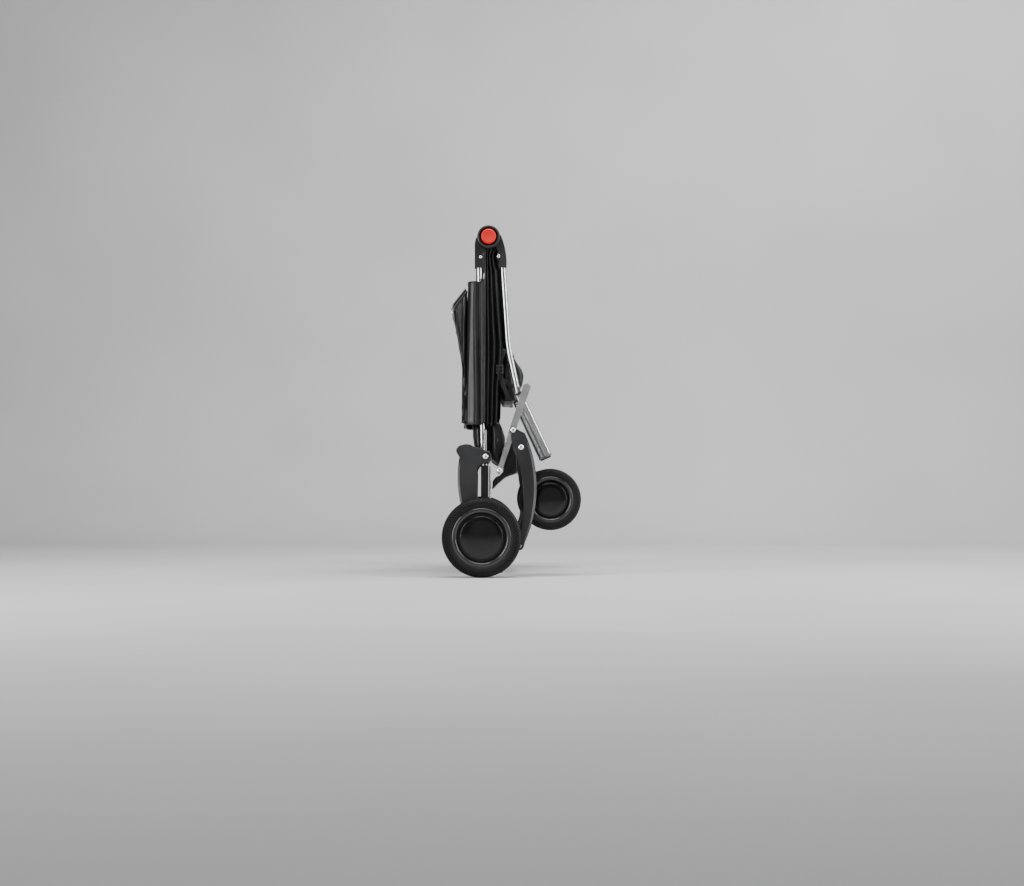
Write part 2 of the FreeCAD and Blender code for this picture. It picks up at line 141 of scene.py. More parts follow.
class Finish:
    """A node material, kept in FINISH, with short names for the few nodes that the finishes need."""

    def __init__(self, name, metallic=0.0, specular=0.5, coat=0.0, coat_roughness=0.1, sheen=0.0):
        self.material = FINISH[name] = bpy.data.materials.new(name)
        self.material.use_nodes = True
        self.tree = self.material.node_tree
        self.shader = self.tree.nodes["Principled BSDF"]
        for socket, value in {
                "Metallic": metallic, "Specular IOR Level": specular, "Coat Weight": coat,
                "Coat Roughness": coat_roughness, "Sheen Weight": sheen, "Sheen Roughness": 0.45}.items():
            self.shader.inputs[socket].default_value = value
        self.place = self.add("ShaderNodeTexCoord").outputs["Object"]

    def add(self, kind, **settings):
        made = self.tree.nodes.new(kind)
        for key, value in settings.items():
            setattr(made, key, value)
        return made

    def join(self, source, target):
        self.tree.links.new(source, target)

    def stretched(self, scale):
        """Object coordinates, scaled by three factors."""
        mapping = self.add("ShaderNodeMapping")
        mapping.inputs["Scale"].default_value = scale
        self.join(self.place, mapping.inputs["Vector"])
        return mapping.outputs["Vector"]

    def noise(self, scale, detail=3.0, place=None):
        made = self.add("ShaderNodeTexNoise")
        made.inputs["Scale"].default_value = scale
        made.inputs["Detail"].default_value = detail
        self.join(place or self.place, made.inputs["Vector"])
        return made.outputs["Fac"]

    def wave(self, pitch, direction):
        """Even ridges, one every pitch metres: Blender's wave repeats every 2 pi / (20 scale)."""
        made = self.add("ShaderNodeTexWave", bands_direction=direction)
        made.inputs["Scale"].default_value = 2 * math.pi / 20 / pitch
        made.inputs["Distortion"].default_value = 0.0
        self.join(self.place, made.inputs["Vector"])
        return made.outputs["Fac"]

    def blend_colours(self, factor, low, high, at=(0.35, 0.65)):
        ramp = self.add("ShaderNodeValToRGB")
        for element, position, colour in zip(ramp.color_ramp.elements, at, (low, high)):
            element.position = position
            element.color = (*colour, 1)
        self.join(factor, ramp.inputs["Fac"])
        return ramp.outputs["Color"]

    def span(self, factor, low, high):
        """The factor, carried from 0..1 to low..high."""
        made = self.add("ShaderNodeMapRange")
        made.inputs["To Min"].default_value = low
        made.inputs["To Max"].default_value = high
        self.join(factor, made.inputs["Value"])
        return made.outputs["Result"]

    def sum(self, a, b, share):
        """a plus a share of b."""
        made = self.add("ShaderNodeMath", operation="MULTIPLY_ADD")
        self.join(b, made.inputs[0])
        made.inputs[1].default_value = share
        self.join(a, made.inputs[2])
        return made.outputs["Value"]

    def bump(self, height, distance, strength=1.0):
        made = self.add("ShaderNodeBump")
        made.inputs["Distance"].default_value = distance
        made.inputs["Strength"].default_value = strength
        self.join(height, made.inputs["Height"])
        self.join(made.outputs["Normal"], self.shader.inputs["Normal"])

    def colour(self, socket):
        self.join(socket, self.shader.inputs["Base Color"])

    def roughness(self, socket):
        self.join(socket, self.shader.inputs["Roughness"])


def moulded(name, low, high, rough, grain=900.0, grain_depth=0.00004, coat=0.0, specular=0.38):
    """Moulded plastic or rubber: a slightly uneven tone over a fine spark-eroded grain."""
    f = Finish(name, specular=specular, coat=coat, coat_roughness=0.08)
    tone = f.noise(14.0, 4.0)
    fine = f.noise(grain, 2.0)
    f.colour(f.blend_colours(tone, low, high))
    f.roughness(f.span(f.sum(tone, fine, 0.4), rough - 0.07, rough + 0.09))
    f.bump(fine, grain_depth, 0.6)


def metal(name, low, high, rough, streak=(60, 60, 1)):
    """Polished metal with faint drawing lines along its length and a cloudy tarnish."""
    f = Finish(name, metallic=1.0)
    tone = f.noise(22.0, 3.0)
    lines = f.noise(40.0, 3.0, f.stretched(streak))
    f.colour(f.blend_colours(tone, low, high))
    f.roughness(f.span(f.sum(tone, lines, 0.2), rough - 0.03, rough + 0.05))
    f.bump(lines, 0.00001, 0.15)


def cloth(name, low, high, sheen, pitch=0.0011):
    """Woven cabin fabric: crossed threads, a slubby tone, and soft handling marks."""
    f = Finish(name, specular=0.42, sheen=sheen)
    warp = f.wave(pitch, "DIAGONAL")
    weft = f.wave(pitch, "Z")
    slub = f.noise(420.0, 2.0)
    broad = f.noise(9.0, 5.0)
    thread = f.sum(f.sum(warp, weft, 1.0), slub, 0.6)
    f.colour(f.blend_colours(f.sum(broad, slub, 0.25), low, high, (0.4, 0.85)))
    f.roughness(f.span(broad, 0.33, 0.47))
    f.bump(thread, 0.00010, 0.5)


# %% [markdown]
# ## The finishes
#
# Polished aluminium tubes, two black plastics (a satin one on the arms and a glossy one on the elbows
# and wheel caps), tyre rubber, charcoal fabric with a soft sheen, webbing, and the red button.

# %% Finishes
metal("polished_aluminium", (0.62, 0.62, 0.63), (0.86, 0.86, 0.87), 0.16)
moulded("gloss_black", (0.011, 0.011, 0.012), (0.020, 0.020, 0.021), 0.33, coat=0.12)
moulded("satin_black", (0.012, 0.012, 0.013), (0.023, 0.023, 0.024), 0.38)
# A pale plastic for the edge strips: its colour paints the highlight on the arms' rounded outer edges.
moulded("painted_edge_highlight", (0.075, 0.075, 0.078), (0.12, 0.12, 0.123), 0.36)
moulded("red_button", (0.46, 0.003, 0.001), (0.58, 0.006, 0.002), 0.5, 600, 0.00003)
moulded("grip_foam", (0.006, 0.006, 0.006), (0.014, 0.014, 0.014), 0.78, 700, 0.0002)
moulded("grey_cap", (0.10, 0.10, 0.105), (0.15, 0.15, 0.155), 0.36)
moulded("black_rubber", (0.007, 0.007, 0.007), (0.014, 0.014, 0.014), 0.66)
metal("rivet_steel", (0.7, 0.7, 0.7), (0.88, 0.88, 0.88), 0.2, (8, 8, 8))
metal("axle_steel", (0.35, 0.35, 0.34), (0.5, 0.5, 0.49), 0.34, (60, 4, 60))
moulded("tyre", (0.003, 0.003, 0.003), (0.008, 0.008, 0.0078), 0.46, 500, 0.0001, specular=0.2)
moulded("rim_black", (0.004, 0.004, 0.004), (0.009, 0.009, 0.009), 0.30, coat=0.15)
moulded("rim_ring", (0.010, 0.010, 0.010), (0.018, 0.018, 0.018), 0.24, coat=0.6)
moulded("cap_gloss", (0.0015, 0.0015, 0.0015), (0.0035, 0.0035, 0.0035), 0.2, coat=0.15)
cloth("cabin_fabric", (0.002, 0.002, 0.0022), (0.006, 0.006, 0.0064), 0.03)
cloth("webbing", (0.0035, 0.0035, 0.0035), (0.009, 0.009, 0.009), 0.04, 0.0016)
# A pale tape for the trims; on the basket's hem its pale colour paints the highlight along the piping.
cloth("pale_tape_and_highlight", (0.045, 0.045, 0.046), (0.085, 0.085, 0.086), 0.2, 0.0009)
print("finishes:", ", ".join(FINISH))

# %% [markdown]
# ## A small kit for surfaces
#
# A surface is a grid of points: rows along one parameter and columns along the other. `skin` turns such a
# grid into quads. A grid that is closed around its columns is a tube, and its two open ends are closed
# with a fan of triangles, so that every solid piece is watertight.

# %% Surface kit


def shade_smooth(mesh):
    mesh.polygons.foreach_set("use_smooth", np.ones(len(mesh.polygons), bool))


def dressed(name, mesh, body, finish):
    """A new object for a mesh, with a finish. It rides on a body, if one is given."""
    piece = bpy.data.objects.new(name, mesh)
    SCENE.collection.objects.link(piece)
    mesh.materials.append(FINISH[finish])
    if body:
        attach(piece, body)
    return piece


def place(name, vertices, faces, body, finish, smooth=True):
    """A new object made of points and faces."""
    mesh = bpy.data.meshes.new(name)
    mesh.from_pydata(vertices.tolist(), [], faces)
    mesh.update()
    if smooth:
        shade_smooth(mesh)
    return dressed(name, mesh, body, finish)


def face_outwards(piece):
    """Turn a closed mesh's faces outwards."""
    work = bmesh.new()
    work.from_mesh(piece.data)
    bmesh.ops.recalc_face_normals(work, faces=work.faces)
    work.to_mesh(piece.data)
    work.free()


def skin(name, grid, body, finish, around=False, ring=False):
    """Quads over a grid of points. around closes the columns; ring closes the rows too; a tube with open
    ends gets a middle point and a fan of triangles at each."""
    rows, columns, _ = grid.shape
    points = grid.reshape(-1, 3)
    index = np.arange(rows * columns).reshape(rows, columns)
    if around:
        index = np.hstack([index, index[:, :1]])
    if ring:
        index = np.vstack([index, index[:1]])
    quads = np.stack([index[:-1, :-1], index[:-1, 1:], index[1:, 1:], index[1:, :-1]], -1).reshape(-1, 4)
    faces = quads.tolist()
    if around and not ring:
        first, last = grid[0].mean(0), grid[-1].mean(0)
        points = np.vstack([points, first, last])
        low, high = len(points) - 2, len(points) - 1
        faces += [[low, b, a] for a, b in zip(index[0, :-1].tolist(), index[0, 1:].tolist())]
        faces += [[high, a, b] for a, b in zip(index[-1, :-1].tolist(), index[-1, 1:].tolist())]
    piece = place(name, points, faces, body, finish)
    if around:
        face_outwards(piece)
    return piece


def run_length(points):
    return float(np.linalg.norm(np.diff(points, axis=0), axis=1).sum())


def polyline(points, count):
    """Points spaced evenly along straight runs."""
    points = np.array(points, float)
    steps = np.r_[0, np.cumsum(np.linalg.norm(np.diff(points, axis=0), axis=1))]
    at = np.linspace(0, steps[-1], count)
    return np.stack([np.interp(at, steps, points[:, k]) for k in range(points.shape[1])], 1)


def softened(points, passes, closed=False):
    """Each pass moves every point to the average of itself and its neighbours, which rounds corners."""
    points = points.copy()
    for _ in range(passes):
        before, after = np.roll(points, 1, 0), np.roll(points, -1, 0)
        moved = (before + 2 * points + after) / 4
        if not closed:
            moved[0], moved[-1] = points[0], points[-1]
        points = moved
    return points


def carried(path, section, flat_axis=(0.0, 1.0, 0.0)):
    """A section (across, up) carried along a path. Across lies in the plane of the path and is square to
    it; up is the given axis."""
    path = np.asarray(path, float)
    way = np.gradient(path, axis=0)
    way /= np.linalg.norm(way, axis=1, keepdims=True)
    up = np.array(flat_axis, float)
    across = np.cross(way, up)
    across /= np.linalg.norm(across, axis=1, keepdims=True)
    lift = np.cross(across, way)
    return path[:, None] + section[None, :, :1] * across[:, None] + section[None, :, 1:] * lift[:, None]


def at_y(profile, y):
    """(x, z) points as (x, y, z) points, at one y or at a y each."""
    return np.stack([profile[:, 0], y + 0 * profile[:, 0], profile[:, 1]], 1)


def full_turn(count):
    return np.linspace(0, 2 * math.pi, count, endpoint=False)


def soft_step(value, edge, width):
    """1 well below the edge, 0 well above it."""
    return 1 / (1 + np.exp((value - edge) / width))


def bell(value, peak, width):
    """1 at the peak, fading to 0 on both sides."""
    return np.exp(-((value - peak) / width) ** 2)


def oval(half_across, half_up, count, power=1.0):
    """A round or squarish section: the signed cosine and sine, each raised to a power."""
    turn = full_turn(count)
    c, s = np.cos(turn), np.sin(turn)
    return np.stack([half_across * np.sign(c) * np.abs(c) ** power, half_up * np.sign(s) * np.abs(s) ** power], 1)


def revolved(radius, y, centre, turn):
    """Points at a radius and a y, at every angle of turn about an axle along Y."""
    x = centre[0] + radius * np.cos(turn)
    return np.stack([x, y + 0 * x, centre[1] + radius * np.sin(turn)], -1)


NEARLY_0 = 0.5 * MM     # a turned profile's ends stay off the axis, so that no face has two equal corners


def turned(name, profile, centre, y, side, body, finish, count=96, ring=False):
    """A profile of (radius, distance out along the axle) points, turned about an axle along Y."""
    profile = np.array(profile, float)
    grid = revolved(profile[:, :1], side * (y + profile[:, 1:]), centre, full_turn(count))
    return skin(name, grid, body, finish, around=True, ring=ring)


def declare_sheet(piece, width, thickness):
    """Give a grid its cloth thickness. The width it was cut to is not used."""
    solid = piece.modifiers.new("thickness", "SOLIDIFY")
    solid.thickness = thickness
    solid.offset = 0.0


# %% [markdown]
# ## Hard parts from the CAD model
#
# A CAD node has the right shape but razor edges. A copy is welded, its edges get a small bevel, and the
# flat faces keep true shading with weighted normals. The copy then stands for the node.

# %% Rounded copies
SHARP_ANGLE = math.radians(38)


def rounded(node, finish, radius_mm):
    """A welded copy of a CAD node with its sharp edges bevelled."""
    source = frame["nodes"][node]
    mesh = source.data.copy()
    mesh.name = node + "_shape"
    mesh.materials.clear()
    piece = dressed(node + "_shape", mesh, source["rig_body"], finish)
    work = bmesh.new()
    work.from_mesh(mesh)
    bmesh.ops.remove_doubles(work, verts=work.verts, dist=0.00001)
    bmesh.ops.dissolve_limit(work, angle_limit=math.radians(0.6), verts=work.verts, edges=work.edges)
    work.to_mesh(mesh)
    work.free()
    shade_smooth(mesh)
    mesh.set_sharp_from_angle(angle=SHARP_ANGLE)
    if radius_mm:
        bevel = piece.modifiers.new("edges", "BEVEL")
        bevel.width = radius_mm * MM
        bevel.segments = 4
        bevel.limit_method = "ANGLE"
        bevel.angle_limit = SHARP_ANGLE
        normals = piece.modifiers.new("shading", "WEIGHTED_NORMAL")
        normals.keep_sharp = True
    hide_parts(node)


ROUNDED = {  # bevel in millimetres; a name that ends in * has a right and a left node
    "gloss_black": {"rear_elbows": 6.0, "front_elbows": 6.0},
    "polished_aluminium": {
        "rear_tube_*": 0, "front_tube_*": 0, "front_lower_tube_*": 0.4, "link_bar_*": 5.0,
        "link_cross_tube": 0.4, "side_rods": 0.3, "handle_bar": 0.8},
    "satin_black": {
        "front_leg_*": 4.0, "rear_arm_*": 4.0, "fork_arm_*": 2.6, "rear_columns": 2.4, "axle_clamps": 2.0,
        "front_collars": 1.0, "brake_pedal": 1.6, "stand_foot": 1.4},
    "grey_cap": {"end_caps": 1.2},
    "black_rubber": {"end_tips": 1.0, "stand_pad": 0.8},
    "rivet_steel": {"front_rivets": 0.2, "leg_rivets": 0.2, "rear_rivets": 0.2},
    "axle_steel": {"rear_axle": 0.5, "stub_axles": 0.5, "fork_shaft": 0.5, "brake_bar": 0.5},
}
copies = 0
for finish, nodes in ROUNDED.items():
    for name, radius in nodes.items():
        for node in [name.replace("*", side) for side in SIDES] if "*" in name else [name]:
            rounded(node, finish, radius)
            copies += 1
print("rounded copies:", copies)

# %% [markdown]
# ## Hub housings and fold buttons
#
# Each hub is a round housing with a dark recess ring, and in it sits the red fold button. Both are turned
# shapes: a profile of radius against depth, swept round the handle's axis, with every corner rounded
# in the profile.

# %% Hubs and buttons
housing_low, housing_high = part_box("hub_housings")
button_low, button_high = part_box("red_button_left")
HUB_R = (housing_high.z - housing_low.z) / 2
BUTTON_R = (button_high.z - button_low.z) / 2
HOUSING_FACE, BUTTON_FACE = housing_high.y, button_high.y
HOUSING_DEPTH = HOUSING_FACE - 209 * MM
BUTTON_DEPTH = BUTTON_FACE - button_low.y
RECESS_R, RECESS_DEPTH = HUB_R - 5.5 * MM, 9 * MM
for side, sign in SIDES.items():
    housing = turned("hub_housing_" + side, [
        (RECESS_R - 4 * MM, -HOUSING_DEPTH), (HUB_R - 1 * MM, -HOUSING_DEPTH), (HUB_R, 1 * MM - HOUSING_DEPTH),
        (HUB_R, -3 * MM), (HUB_R - 0.9 * MM, -0.9 * MM), (HUB_R - 3 * MM, 0), (RECESS_R + 0.8 * MM, -0.2 * MM),
        (RECESS_R, -1 * MM), (RECESS_R, -RECESS_DEPTH), (BUTTON_R + 0.4 * MM, -RECESS_DEPTH),
        (BUTTON_R + 0.4 * MM, 4 * MM - HOUSING_DEPTH)],
        HANDLE, HOUSING_FACE, sign, FRONT, "gloss_black")
    if sign < 0:
        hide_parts("hub_housings")
    button = turned("fold_button_" + side, [
        (NEARLY_0, -1.5 * MM), (0.45 * BUTTON_R, -1.2 * MM), (0.72 * BUTTON_R, -0.3 * MM), (0.82 * BUTTON_R, 0),
        (0.93 * BUTTON_R, -0.8 * MM), (BUTTON_R - 0.2 * MM, -3 * MM), (BUTTON_R, -6 * MM),
        (BUTTON_R, -BUTTON_DEPTH), (NEARLY_0, -BUTTON_DEPTH)],
        HANDLE, BUTTON_FACE, sign, "button_" + side, "red_button")
    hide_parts("red_button_" + side)

# %% [markdown]
# ## The handle grip
#
# A foam sleeve over the handle bar, slightly barrelled, with fine grooves turned into it and a rolled edge
# at each end.

# %% Handle grip
grip_low, grip_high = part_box("handle_grip")
GRIP_R = (grip_high.z - grip_low.z) / 2
EDGE_ROLL, GROOVE, GROOVE_PITCH = 3 * MM, 0.35 * MM, 4.2 * MM
along = np.linspace(grip_low.y, grip_high.y, 241)
edge_roll = np.clip((1 - np.abs(along) / grip_high.y) / 0.02, 0, 1) ** 0.5
radius = (GRIP_R - EDGE_ROLL) + EDGE_ROLL * edge_roll - GROOVE * (np.cos(along / GROOVE_PITCH) > 0.8)
grip = turned("foam_grip", np.stack([radius, along], 1), HANDLE, 0, 1, REAR, "grip_foam", 48)
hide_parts("handle_grip")

# %% [markdown]
# ## Wheels
#
# A tyre is a rounded section swept round its axle. Its tread is cut by lowering the section's radius in
# slanted grooves: the groove's place shifts round the wheel as it runs over the shoulder, so the blocks
# lean. The rim is a turned dish with a glossy rolled ring, and the cap is a shallow glossy dome.

# %% Wheels
SHOULDER, CENTRE_RIB = 1.37, 0.16       # section angles where the tread ends and where its blocks begin
BLOCK_LEAN, GROOVE_SHARE = 2.4, 0.45


def tyre(name, node, centre, body, blocks):
    """Section angle a runs over the tread from the inner to the outer bead. The section is a
    superellipse drawn in at the beads; grooves lower it where the sawtooth of (turn + lean x |a|) steps."""
    low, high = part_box(node)
    outer = (high.z - low.z) / 2
    half = (high.y - low.y) / 2
    middle = (high.y + low.y) / 2
    bead = 0.755 * outer
    turn = full_turn(blocks * 8)[:, None]
    a = np.linspace(-0.5, 0.5, 56)[None, :] * math.pi
    off_centre = np.abs(a)
    height = (outer - bead) * np.abs(np.cos(a)) ** 0.66
    tuck = 1 - 0.16 * np.clip((off_centre - 1.15) / 0.42, 0, 1) ** 2
    across = half * np.sign(np.sin(a)) * np.abs(np.sin(a)) ** 0.85 * tuck
    phase = (turn * blocks / (2 * math.pi) + BLOCK_LEAN * off_centre) % 1.0
    tread = soft_step(off_centre, SHOULDER, 0.02) * (1 - soft_step(off_centre, CENTRE_RIB, 0.03))
    rib_lines = bell(off_centre, 0.2, 0.035) + bell(off_centre, 0.62, 0.03)
    wall_line = bell(off_centre, 1.47, 0.02)
    cut = outer * (0.030 * (phase < GROOVE_SHARE) * tread + 0.014 * rib_lines + 0.010 * wall_line)
    grid = revolved(bead + height - cut * np.cos(a), middle + across - cut * np.sin(a), centre, turn)
    inner = np.linspace(1, -1, 6)[1:-1][None, :] * half * 0.7
    inside = revolved(bead - 0.02 * outer + 0 * inner, middle + inner, centre, turn)
    piece = skin(name, np.concatenate([grid, inside], 1), body, "tyre", around=True, ring=True)
    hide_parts(node)
    return outer, half, abs(middle)


def wheel(prefix, side, centre, blocks):
    sign = SIDES[side]
    body = prefix + "_wheel_" + side
    outer, half, middle = tyre(body + "_tyre", prefix + "_tyre_" + side, centre, body, blocks)
    bead, ring, cap = 0.765 * outer, 0.665 * outer, 0.545 * outer
    face = half * 0.82
    rim = turned(body + "_rim", [
        (0.1 * outer, -half * 0.62), (0.2 * outer, -half * 0.66), (0.24 * outer, -half * 0.5),
        (0.6 * outer, -half * 0.42), (ring, -half * 0.62), (bead - 2 * MM, -face), (bead, -face + 2 * MM),
        (bead, face - 2 * MM), (bead - 0.6 * MM, face - 0.5 * MM), (bead - 2.4 * MM, face),
        (ring + 5 * MM, face - 0.6 * MM), (ring + 3.6 * MM, face - 2.2 * MM), (ring + 1.6 * MM, face - 1.6 * MM),
        (ring - 1 * MM, face - 1.2 * MM), (ring - 3.4 * MM, face - 2.4 * MM),
        (0.61 * outer, face - 6.5 * MM), (0.575 * outer, face - 8.2 * MM), (cap + 1.6 * MM, face - 8.2 * MM),
        (cap + 0.6 * MM, face - 6.8 * MM), (cap + 0.6 * MM, half * 0.1), (0.2 * outer, half * 0.1),
        (0.1 * outer, half * 0.1)], centre, middle, sign, body, "rim_black", 128)
    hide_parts(prefix + "_rim_" + side)
    bright_ring = oval(0.052 * outer, 2.8 * MM, 20) + [0.692 * outer, face - 1.2 * MM]
    turned(body + "_rim_ring", bright_ring, centre, middle, sign, body, "rim_ring", 128, ring=True)
    top = half * 0.99
    dome = turned(body + "_cap", [
        (NEARLY_0, face - 6.5 * MM), (cap, face - 6.5 * MM), (cap, face - 2.4 * MM),
        (cap - 0.7 * MM, face - 0.9 * MM), (cap - 2.2 * MM, face - 0.2 * MM), (cap - 3.2 * MM, face - 0.5 * MM),
        (cap - 4.6 * MM, face - 0.2 * MM), (0.85 * cap, (face + top) / 2 - 0.6 * MM), (0.6 * cap, top - 1.4 * MM),
        (0.35 * cap, top - 0.5 * MM), (0.15 * cap, top - 0.1 * MM), (NEARLY_0, top)],
        centre, middle, sign, body, "cap_gloss", 128)
    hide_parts(prefix + "_cap_" + side)


for side in SIDES:
    wheel("rear", side, REAR_AXLE, 78)
    wheel("front", side, FRONT_HUB, 64)
print("wheels:", 4)

# %% [markdown]
# ## Painted highlight strips on the arms
#
# The crescent leg and the rear arm each have a pale strip along their outer edge: a painted highlight where
# the rounded edge catches the light. It is a thin oval bead carried along the same arc as the edge, and it
# tapers to nothing at both ends. A thin ring stands round the rivet where the arm is held.

# %% Edge strips


def arc(a, through, b, count):
    """Points on the circle through three (x, z) points, from a to b."""
    a, through, b = (np.array(p, float) for p in (a, through, b))
    matrix = 2 * np.array([through - a, b - a])
    centre = np.linalg.solve(matrix, [through @ through - a @ a, b @ b - a @ a])
    angles = [math.atan2(*(p - centre)[::-1]) for p in (a, through, b)]
    unrolled = np.unwrap(angles)
    turn = np.linspace(unrolled[0], unrolled[2], count)
    return centre + np.linalg.norm(a - centre) * np.stack([np.cos(turn), np.sin(turn)], 1)


ARM_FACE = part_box("front_leg_left")[1].y


def strip(name, points, inset, half_width, body):
    """A tapered bead just inside an edge, standing a little proud of the outer face, whose pale colour paints the
    edge's highlight.
    """
    count = 60
    path = arc(*points, count) * MM
    way = np.gradient(path, axis=0)
    way /= np.linalg.norm(way, axis=1, keepdims=True)
    path = path + inset * np.stack([way[:, 1], -way[:, 0]], 1)
    taper = np.sqrt(np.clip(np.sin(np.linspace(0.02, math.pi - 0.02, count)), 0, 1))
    for side, sign in SIDES.items():
        centre = at_y(path, sign * (ARM_FACE - 0.6 * MM))
        ring = carried(centre, oval(1.0, 1.0, 12))
        size = taper[:, None, None] * [half_width, 1.5 * MM, half_width]
        grid = centre[:, None] + (ring - centre[:, None]) * size
        skin(name + "_" + side, grid, body, "painted_edge_highlight", around=True)


LEG_EDGE = ((115.5, 366.0), (143.0, 222.0), (107.0, 78.0))
ARM_EDGE = ((-58.0, 309.0), (-56.4, 195.0), (-22.0, 108.0))
# These pale strips paint the highlight along the outer edges of the leg and the arm.
strip("leg_edge_highlight_strip", LEG_EDGE, 3.4 * MM, 3.4 * MM, "front_leg")
strip("arm_edge_highlight_strip", ARM_EDGE, -3.4 * MM, 2.8 * MM, REAR)
ARM_BOSS, BOSS_R = (10 * MM, 313 * MM), 12.6 * MM
boss_ring = oval(1.3 * MM, 0.9 * MM, 16) + [BOSS_R, 0.1 * MM]
for side, sign in SIDES.items():
    turned("arm_boss_ring_" + side, boss_ring, ARM_BOSS, ARM_FACE, sign, REAR, "gloss_black", 64, ring=True)
print("edge strips:", 4, "boss rings:", 2)

# %% [markdown]
# ## Soft parts: how folded cloth is built here
#
# Folded cloth shows two things: where it is held, it is flat or piped, and where it is loose, it ripples.
# The ripples are a sum of a few slow sine waves across the fold direction, with phases that drift along
# it, so no two folds are alike and every run gives the same cloth.

# %% Ripples


def ripple(along, across, size, pitch, drift=1.0, seed=0.0):
    """Folds that run along one direction: waves across it, whose phase drifts and whose height varies."""
    wander = 0.9 * np.sin(along / (0.19 * drift) + seed) + 0.5 * np.sin(along / (0.071 * drift) + 2.1 * seed)
    first = np.sin(2 * math.pi * across / pitch + wander + seed)
    second = np.sin(2 * math.pi * across / (0.43 * pitch) - 1.3 * wander + 3 * seed)
    fade = 0.65 + 0.35 * np.sin(along / (0.11 * drift) + 1.7 * seed)
    return size * fade * (first + 0.35 * second)


def height_share(z, low, high):
    return (z - low) / (high - low)


# %% [markdown]
# ## The cabin wrap
#
# The back wall of the cabin is one sheet that runs round the back of the folded pack, from the front edge
# of one side panel to the front edge of the other. On each side it swells over the tube, sinks into a
# valley and swells again before it turns the corner. It stands out along the bottom, where the hem is sewn.

# %% Cabin wrap
wrap_low, wrap_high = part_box("side_panels")
WRAP_ROWS, WRAP_SIDE, WRAP_BACK = 90, 46, 90
BACK_TOP_X, WRAP_FACE = -36.0 * MM, 206.2 * MM
z = np.linspace(wrap_high.z, wrap_low.z, WRAP_ROWS)[:, None]
share = height_share(z, wrap_low.z, wrap_high.z)
back_x = BACK_TOP_X + (wrap_low.x - BACK_TOP_X) * (1 - share) ** 1.2
front_x = wrap_high.x + 3 * MM
u = np.linspace(0, 1, WRAP_SIDE)[None, :]
valley_at = 0.36 - 0.16 * (1 - share)
crest = 0.50 + 0.06 * np.sin(z / 0.09)
swell = 8.5 * MM * bell(u, crest, np.where(u > crest, 0.30, 0.13))
valley = -1.6 * MM * bell(u, valley_at, 0.09)
edge_swell = 5.6 * MM * bell(u, 0.07, 0.08)
corner = 13 * MM * np.clip((u - 0.82) / 0.18, 0, 1) ** 2.2
soft_waves = ripple(z, u * 0.06, 0.55 * MM, 0.030, 1.0, 0.6) * (u < 0.98)
side_y = WRAP_FACE + swell + valley + edge_swell - corner + soft_waves
side_x = front_x + (back_x - front_x) * u
v = np.linspace(0, 1, WRAP_BACK)[None, 1:-1]
back_y = side_y[:, -1:] * (1 - 2 * v)
sag = ripple(z, v * 0.4, 1.1 * MM, 0.14, 1.2, 2.0) * np.sin(math.pi * v)
back_line = back_x + sag - 1.0 * MM * np.sin(math.pi * v)
right = np.stack([side_x, -side_y, z + 0 * u], -1)
middle = np.stack([back_line, -back_y, z + 0 * v], -1)
left = np.stack([side_x[:, ::-1], side_y[:, ::-1], z + 0 * u], -1)
wrap_grid = np.concatenate([right, middle, left], 1)
for _ in range(3):
    wrap_grid[:, 1:-1] = (wrap_grid[:, :-2] + 2 * wrap_grid[:, 1:-1] + wrap_grid[:, 2:]) / 4
HEM_SHARE, HEM_THICKNESS = 0.030, 0.7 * MM
hem = np.clip((HEM_SHARE - share) / 0.006, 0, 1)[:, :, None]
outward = wrap_grid[..., :2] - [-15 * MM, 0]
outward /= np.linalg.norm(outward, axis=-1, keepdims=True)
wrap_grid[..., :2] += outward * (HEM_THICKNESS * hem)
wrap = skin("cabin_wrap", wrap_grid, REAR, "cabin_fabric")
round_length = run_length(wrap_grid[WRAP_ROWS // 2])
declare_sheet(wrap, round_length, 1.4 * MM)
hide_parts("side_panels", "cabin_pack")
print("cabin wrap:", round(round_length, 3), "m round")


def piping(name, path, radius, body, finish="cabin_fabric", around=10):
    """A cord of binding sewn along an edge. No edge runs along its odd flat axis."""
    skin(name, carried(path, oval(radius, radius, around), (0.13, 0.31, 0.94)), body, finish, around=True)


for edge, row in (("top", 0), ("bottom", -1)):
    piping("wrap_" + edge + "_hem", wrap_grid[row, ::2], 1.5 * MM, REAR)
piping("wrap_stitching", wrap_grid[-5], 0.55 * MM, REAR, "pale_tape_and_highlight", 6)
for side, column in (("right", 0), ("left", -1)):
    piping("wrap_front_edge_" + side, wrap_grid[::2, column], 1.6 * MM, REAR)

# %% [markdown]
# ## Folded layers inside the wrap
#
# Seen from above, the pack is a stack of folded layers. Each is a sheet that goes down behind its
# neighbour: one long zigzag in the X-Z plane, with round turns, carried across the stroller.

# %% Inner layers


def zigzag(x_from, x_to, z_from, z_to, turns):
    """A sheet's profile that runs up and down between two heights while it moves from x to x."""
    t = np.linspace(0, 1, 400)
    phase = t * turns
    leg = np.abs((phase % 2) - 1)
    round_leg = 0.5 - 0.5 * np.cos(math.pi * leg)
    height = 0.72 * leg + 0.28 * round_leg
    top_uneven = 1 - 0.035 * (1 + np.sin(phase * 2.3))
    return np.stack([x_from + (x_to - x_from) * t, z_to + (z_from - z_to) * height * top_uneven], 1)


def carried_across(profile, half_width, columns, wave, seed):
    """A profile in the XZ plane carried along Y, rippling a little in X, as a grid."""
    y = np.linspace(-half_width, half_width, columns)[None, :]
    x = profile[:, :1] + ripple(profile[:, 1:], y, wave, 0.11, 1.0, seed)
    return np.stack([x, y + 0 * x, profile[:, 1:] + 0 * x], -1)


